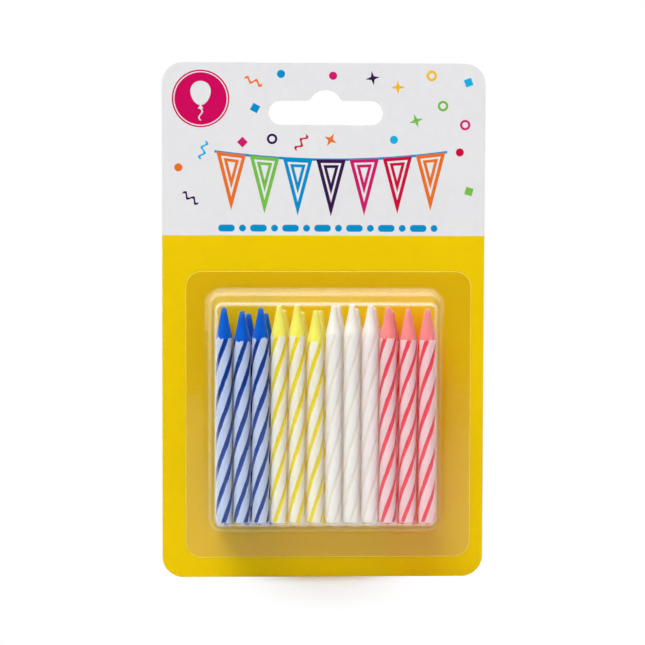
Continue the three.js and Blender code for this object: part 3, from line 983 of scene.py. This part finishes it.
def wax_material(colour):
    """Wax: pale lands, coloured stripes in the grooves and a dipped tip with an uneven edge.
    Light passes through it and takes its colour."""
    land, stripe, tip, half_stripe, reach, ragged = WAX[colour]
    material, tree = new_tree(f"{colour}_wax")
    marks = add(tree, "ShaderNodeSeparateXYZ", {0: attribute(tree, "marks").outputs["Vector"]})
    off_stripe, over_foot, over_shoulder = marks.outputs
    grain = attribute(tree, "grain").outputs["Vector"]
    fine = noise(tree, grain, 2.2, 3, 0.6)
    broad = noise(tree, scaled(tree, grain, (1, 1, 0.25)), 0.6, 2)
    streaks = noise(tree, scaled(tree, grain, (1, 1, 0.04)), 5.5, 3, 0.6)

    edge = maths(tree, "MULTIPLY_ADD", maths(tree, "SUBTRACT", fine, 0.5), 0.25, off_stripe)
    edge = maths(tree, "MULTIPLY_ADD", maths(tree, "SUBTRACT", broad, 0.5), 0.5, edge)
    on_stripe = smooth_step(
        tree, edge, half_stripe - STRIPE_SOFT, half_stripe + STRIPE_SOFT, 1.0, 0.0
    )
    cut = maths(tree, "MULTIPLY_ADD", fine, -0.6, over_foot)
    on_stripe = maths(tree, "MULTIPLY", on_stripe, smooth_step(tree, cut, -0.3, 0.1))
    land_tone = mix_colour(tree, smooth_step(tree, streaks, 0.35, 0.7), land,
                           blend(land, land, 0, 0.93))
    colour_out = mix_colour(tree, on_stripe, land_tone, stripe)

    rag = maths(tree, "SUBTRACT", noise(tree, grain, 0.85, 3, 0.6), 0.5)
    wander = maths(tree, "MULTIPLY_ADD", rag, ragged, over_shoulder)
    wander = maths(tree, "MULTIPLY_ADD", on_stripe, 0.12 + ragged * 0.1, wander)
    dipped = smooth_step(tree, wander, -reach - 0.08, -reach + 0.1)
    tip_high = smooth_step(tree, over_shoulder, TIP_HEIGHT - TIP_PALE_REACH, TIP_HEIGHT)
    pale_tip = blend(tip, (1, 1, 1), 0.3)
    tip_tone = mix_colour(tree, maths(tree, "MULTIPLY", tip_high, TIP_PALING), tip, pale_tip)
    colour_out = mix_colour(tree, dipped, colour_out, tip_tone)

    # Painted pink light, multiplied into the white candle beside the pinks
    cast = attribute(tree, "cast").outputs["Color"]
    colour_out = mix_colour(tree, 1.0, colour_out, cast, "MULTIPLY")

    normal = bump(tree, streaks, 0.00005, 0.5)
    normal = bump(tree, noise(tree, grain, 1.1, 3), 0.0001, 0.4, normal)
    rough = smooth_step(tree, fine, 0.2, 0.8, 0.36, 0.5)
    shader = add(tree, "ShaderNodeBsdfPrincipled", {
        "Base Color": colour_out, "Roughness": rough, "Normal": normal, **WAX_SURFACE,
    })

    in_tip = smooth_step(tree, over_shoulder, -reach - 0.4, -reach + 0.4)
    path = add(tree, "ShaderNodeLightPath").outputs
    whole = shader
    for ray, passes in BODY_PASSES.items():
        body_light = blend(land, stripe, STRIPE_SHARE[colour], passes)
        light = mix_colour(tree, in_tip, body_light, blend(tip, tip, 0, TIP_PASSES))
        through = add(tree, "ShaderNodeBsdfTransparent", {"Color": light})
        whole = add(tree, "ShaderNodeMixShader", {
            0: path[ray], 1: whole.outputs[0], 2: through.outputs[0],
        })
    return finish_material(material, tree, whole.outputs[0])


def wick_piece(label, place, height, material):
    """A wick of three plies, round at its ends."""
    rings = []
    steps = math.ceil(height / WICK_STEP)
    eased = WICK_END_ROUND * WICK_END_EASE
    levels = [(0, WICK_END_ROUND), (eased, eased)]
    levels += [(height * step / steps, 0) for step in range(1, steps)]
    levels += [(height - eased, eased), (height, WICK_END_ROUND)]
    for rise, inset in levels:
        ring = []
        for side in range(WICK_SIDES):
            angle = 2 * math.pi * side / WICK_SIDES
            lobe = abs(math.sin(angle * WICK_PLIES / 2))
            reach = WICK_RADIUS - inset - WICK_PLY_DEPTH * (1 - lobe)
            turn = angle + 2 * math.pi * rise / WICK_LEAD
            ring.append((reach * math.cos(turn), reach * math.sin(turn), rise))
        rings.append(ring)
    points, faces = loft(rings)
    piece = make_piece(f"cotton_{label}", points, faces, [material], place)
    piece.data.polygons.foreach_set("use_smooth", [True] * len(piece.data.polygons))
    store(piece, "along", "FLOAT_VECTOR", "POINT", [(0, 0, z - height) for x, y, z in points])
    return piece


def wick_material(colour):
    """Waxed cotton, with the dip's colour on its upper end."""
    material, tree = new_tree(f"wick_{colour}")
    where = add(tree, "ShaderNodeTexCoord").outputs["Object"]
    along = add(tree, "ShaderNodeSeparateXYZ", {0: attribute(tree, "along").outputs["Vector"]})
    fibres = noise(tree, scaled(tree, where, (1, 1, 0.3)), 6000, 3, 0.65)
    cotton = mix_colour(tree, fibres, srgb(226, 218, 200), srgb(250, 247, 238))
    dipped = smooth_step(tree, along.outputs[2], -2.4, -1.2, 0, 0.8)
    tone = mix_colour(tree, dipped, cotton, WAX[colour][2])
    normal = bump(tree, fibres, 0.00004, 0.7)
    shader = add(tree, "ShaderNodeBsdfPrincipled", {
        "Base Color": tone, "Roughness": 0.8, "Normal": normal, "Specular IOR Level": DULL_MIRRORS,
    })
    return finish_material(material, tree, shader.outputs[0])


def candle_row(row_name, row, waxes, wicks, first_serial):
    for place, helix in enumerate(row):
        colour = COLOURS[place // CANDLES_PER_COLOUR]
        label = f"{row_name}_{colour}_{place % CANDLES_PER_COLOUR + 1}"
        wax_low, wax_high = box_in_mm(f"candle_{label}")
        wick_low, wick_high = box_in_mm(f"wick_{label}")
        x = (wick_low.x + wick_high.x) / 2
        y = (wick_low.y + wick_high.y) / 2
        wax = wax_piece(label, (x, y, wax_low.z), wax_high.z - wax_low.z, helix, waxes[colour],
                        first_serial + place)
        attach(wax, "tray")
        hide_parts(f"candle_{label}")
        wick = wick_piece(label, (x, y, wick_low.z), wick_high.z - wick_low.z, wicks[colour])
        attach(wick, "tray")
        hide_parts(f"wick_{label}")


# Studio

AMBIENT = 0.25
# What surfaces mirror: a dim room with a white wall on the right, a brighter one on the left and
# a bright ceiling. Each comes in between its two shares of the mirrored way, across or upwards
ROOM_MIRRORED = 0.04
RIGHT_MIRRORED = 1.2
RIGHT_FROM, RIGHT_TO = 0.6, 0.9
LEFT_MIRRORED = 2.2
LEFT_FROM, LEFT_TO = -0.4, -0.8
CEILING_MIRRORED = 3.0
CEILING_FROM, CEILING_TO = 0.5, 0.9
# Each lamp's way from the card and its distance, its size, and its light on a surface that
# faces it square on
KEY = ((-0.9, -1, 2.7), 4000, (3000, 3000), 1.28)
FILL = ((0.9, -1, 0.4), 3000, (2400, 1600), 0.05)
TOP = ((0.1, 0.5, 1), 3000, (2000, 2000), 0.38)
FLOOR_HALF = 3000
FLOOR_COLOUR = (0.69, 0.69, 0.69, 1)
# The floor turns to the white background over this distance, sooner to the sides, and what the
# film mirrors of it dims over the longer one
FLOOR_NEAR = 6
FLOOR_FAR = 58
FLOOR_ACROSS = 2.2
FLOOR_DIM_NEAR = 100
FLOOR_DIM_FAR = 850


def make_camera():
    azimuth, elevation = math.radians(CAMERA_AZIMUTH), math.radians(CAMERA_ELEVATION)
    back = Vector((
        math.sin(azimuth) * math.cos(elevation),
        -math.cos(azimuth) * math.cos(elevation),
        math.sin(elevation),
    ))
    right = Vector((0, 0, 1)).cross(back).normalized()
    up = back.cross(right)
    roll = math.radians(CAMERA_ROLL)
    rolled_right = right * math.cos(roll) + up * math.sin(roll)
    rolled_up = back.cross(rolled_right)
    data = bpy.data.cameras.new("camera")
    data.sensor_width = SENSOR_WIDTH
    data.lens = SENSOR_WIDTH * FOCAL_PIXELS / PHOTO_SIDE
    data.clip_start = 0.02
    camera = bpy.data.objects.new("camera", data)
    bpy.context.scene.collection.objects.link(camera)
    turn = Matrix((rolled_right, rolled_up, back)).transposed().to_4x4()
    place = (Vector(CAMERA_AIM) + back * CAMERA_DISTANCE) * MM
    camera.matrix_world = Matrix.Translation(place) @ turn
    bpy.context.scene.camera = camera


def area_lamp(name, aim, way, distance, size, level):
    """A lamp that lights a white surface facing it, at the aim, to the given level. The world
    alone is mirrored."""
    data = bpy.data.lights.new(name, "AREA")
    data.shape = "RECTANGLE"
    data.size, data.size_y = size[0] * MM, size[1] * MM
    data.energy = level * (math.pi * distance * MM) ** 2
    lamp = bpy.data.objects.new(name, data)
    lamp.visible_glossy = False
    bpy.context.scene.collection.objects.link(lamp)
    towards = Vector(way).normalized()
    lamp.location = (Vector(aim) + towards * distance) * MM
    lamp.rotation_euler = (-towards).to_track_quat("-Z", "Y").to_euler()


def make_world():
    """White where it is seen. Surfaces mirror a dim room with bright sides and ceiling."""
    world = bpy.data.worlds.new("studio")
    bpy.context.scene.world = world
    world.use_nodes = True
    tree = world.node_tree
    tree.nodes.clear()
    path = add(tree, "ShaderNodeLightPath").outputs
    direction = add(tree, "ShaderNodeTexCoord").outputs["Generated"]
    way = add(tree, "ShaderNodeSeparateXYZ", {0: direction}).outputs
    right = smooth_step(tree, way[0], RIGHT_FROM, RIGHT_TO, ROOM_MIRRORED, RIGHT_MIRRORED)
    left = smooth_step(tree, way[0], LEFT_TO, LEFT_FROM, LEFT_MIRRORED, ROOM_MIRRORED)
    ceiling = smooth_step(tree, way[2], CEILING_FROM, CEILING_TO, ROOM_MIRRORED, CEILING_MIRRORED)
    brightest = maths(tree, "MAXIMUM", maths(tree, "MAXIMUM", right, left), ceiling)
    mirrored = maths(tree, "SUBTRACT", brightest, AMBIENT)
    seen = maths(tree, "MAXIMUM", path["Is Camera Ray"], path["Is Transmission Ray"])
    strength = maths(tree, "MULTIPLY_ADD", seen, 1 - AMBIENT, AMBIENT)
    strength = maths(tree, "MULTIPLY_ADD", path["Is Glossy Ray"], mirrored, strength)
    sky = add(tree, "ShaderNodeBackground", {"Color": (1, 1, 1, 1), "Strength": strength})
    add(tree, "ShaderNodeOutputWorld", {"Surface": sky.outputs[0]})


def make_floor():
    """A pale floor that turns to the white background away from the object."""
    material, tree = new_tree("floor")
    where = add(tree, "ShaderNodeTexCoord").outputs["Object"]
    spread = scaled(tree, where, (FLOOR_ACROSS, 1, 1))
    away = add(tree, "ShaderNodeVectorMath", {0: spread}, operation="LENGTH").outputs["Value"]
    path = add(tree, "ShaderNodeLightPath").outputs
    seen = maths(tree, "MAXIMUM", path["Is Camera Ray"], path["Is Transmission Ray"])
    faded = maths(tree, "MULTIPLY", seen,
                  smooth_step(tree, away, FLOOR_NEAR * MM, FLOOR_FAR * MM))
    dimmed = maths(tree, "MULTIPLY", path["Is Glossy Ray"],
                   smooth_step(tree, away, FLOOR_DIM_NEAR * MM, FLOOR_DIM_FAR * MM))
    white = add(tree, "ShaderNodeEmission", {
        "Strength": maths(tree, "MULTIPLY_ADD", path["Is Glossy Ray"], ROOM_MIRRORED - 1, 1),
    })
    pale = add(tree, "ShaderNodeBsdfDiffuse", {"Color": FLOOR_COLOUR})
    both = add(tree, "ShaderNodeMixShader", {
        0: maths(tree, "MAXIMUM", faded, dimmed), 1: pale.outputs[0], 2: white.outputs[0],
    })
    finish_material(material, tree, both.outputs[0])
    half = FLOOR_HALF
    points = [(-half, -half, 0), (half, -half, 0), (half, half, 0), (-half, half, 0)]
    floor = make_piece("floor", points, [(0, 1, 2, 3)], [material], (0, 0, card_low.z))


bpy.context.scene.view_settings.view_transform = "Standard"
# Light crosses several candles and the film before it ends
bpy.context.scene.cycles.transparent_max_bounces = 32
make_camera()
make_world()
make_floor()
card_middle = (card_low + card_high) / 2
area_lamp("key", card_middle, *KEY)
area_lamp("fill", card_middle, *FILL)
area_lamp("top", card_middle, *TOP)

card = card_piece()
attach(card, "card")
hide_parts("backing_card")

blister = blister_piece()
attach(blister, "tray")
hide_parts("blister")

wax_materials = {colour: wax_material(colour) for colour in COLOURS}
wick_materials = {colour: wick_material(colour) for colour in COLOURS}
candle_row("back", BACK_ROW, wax_materials, wick_materials, 0)
candle_row("front", FRONT_ROW, wax_materials, wick_materials, len(BACK_ROW))
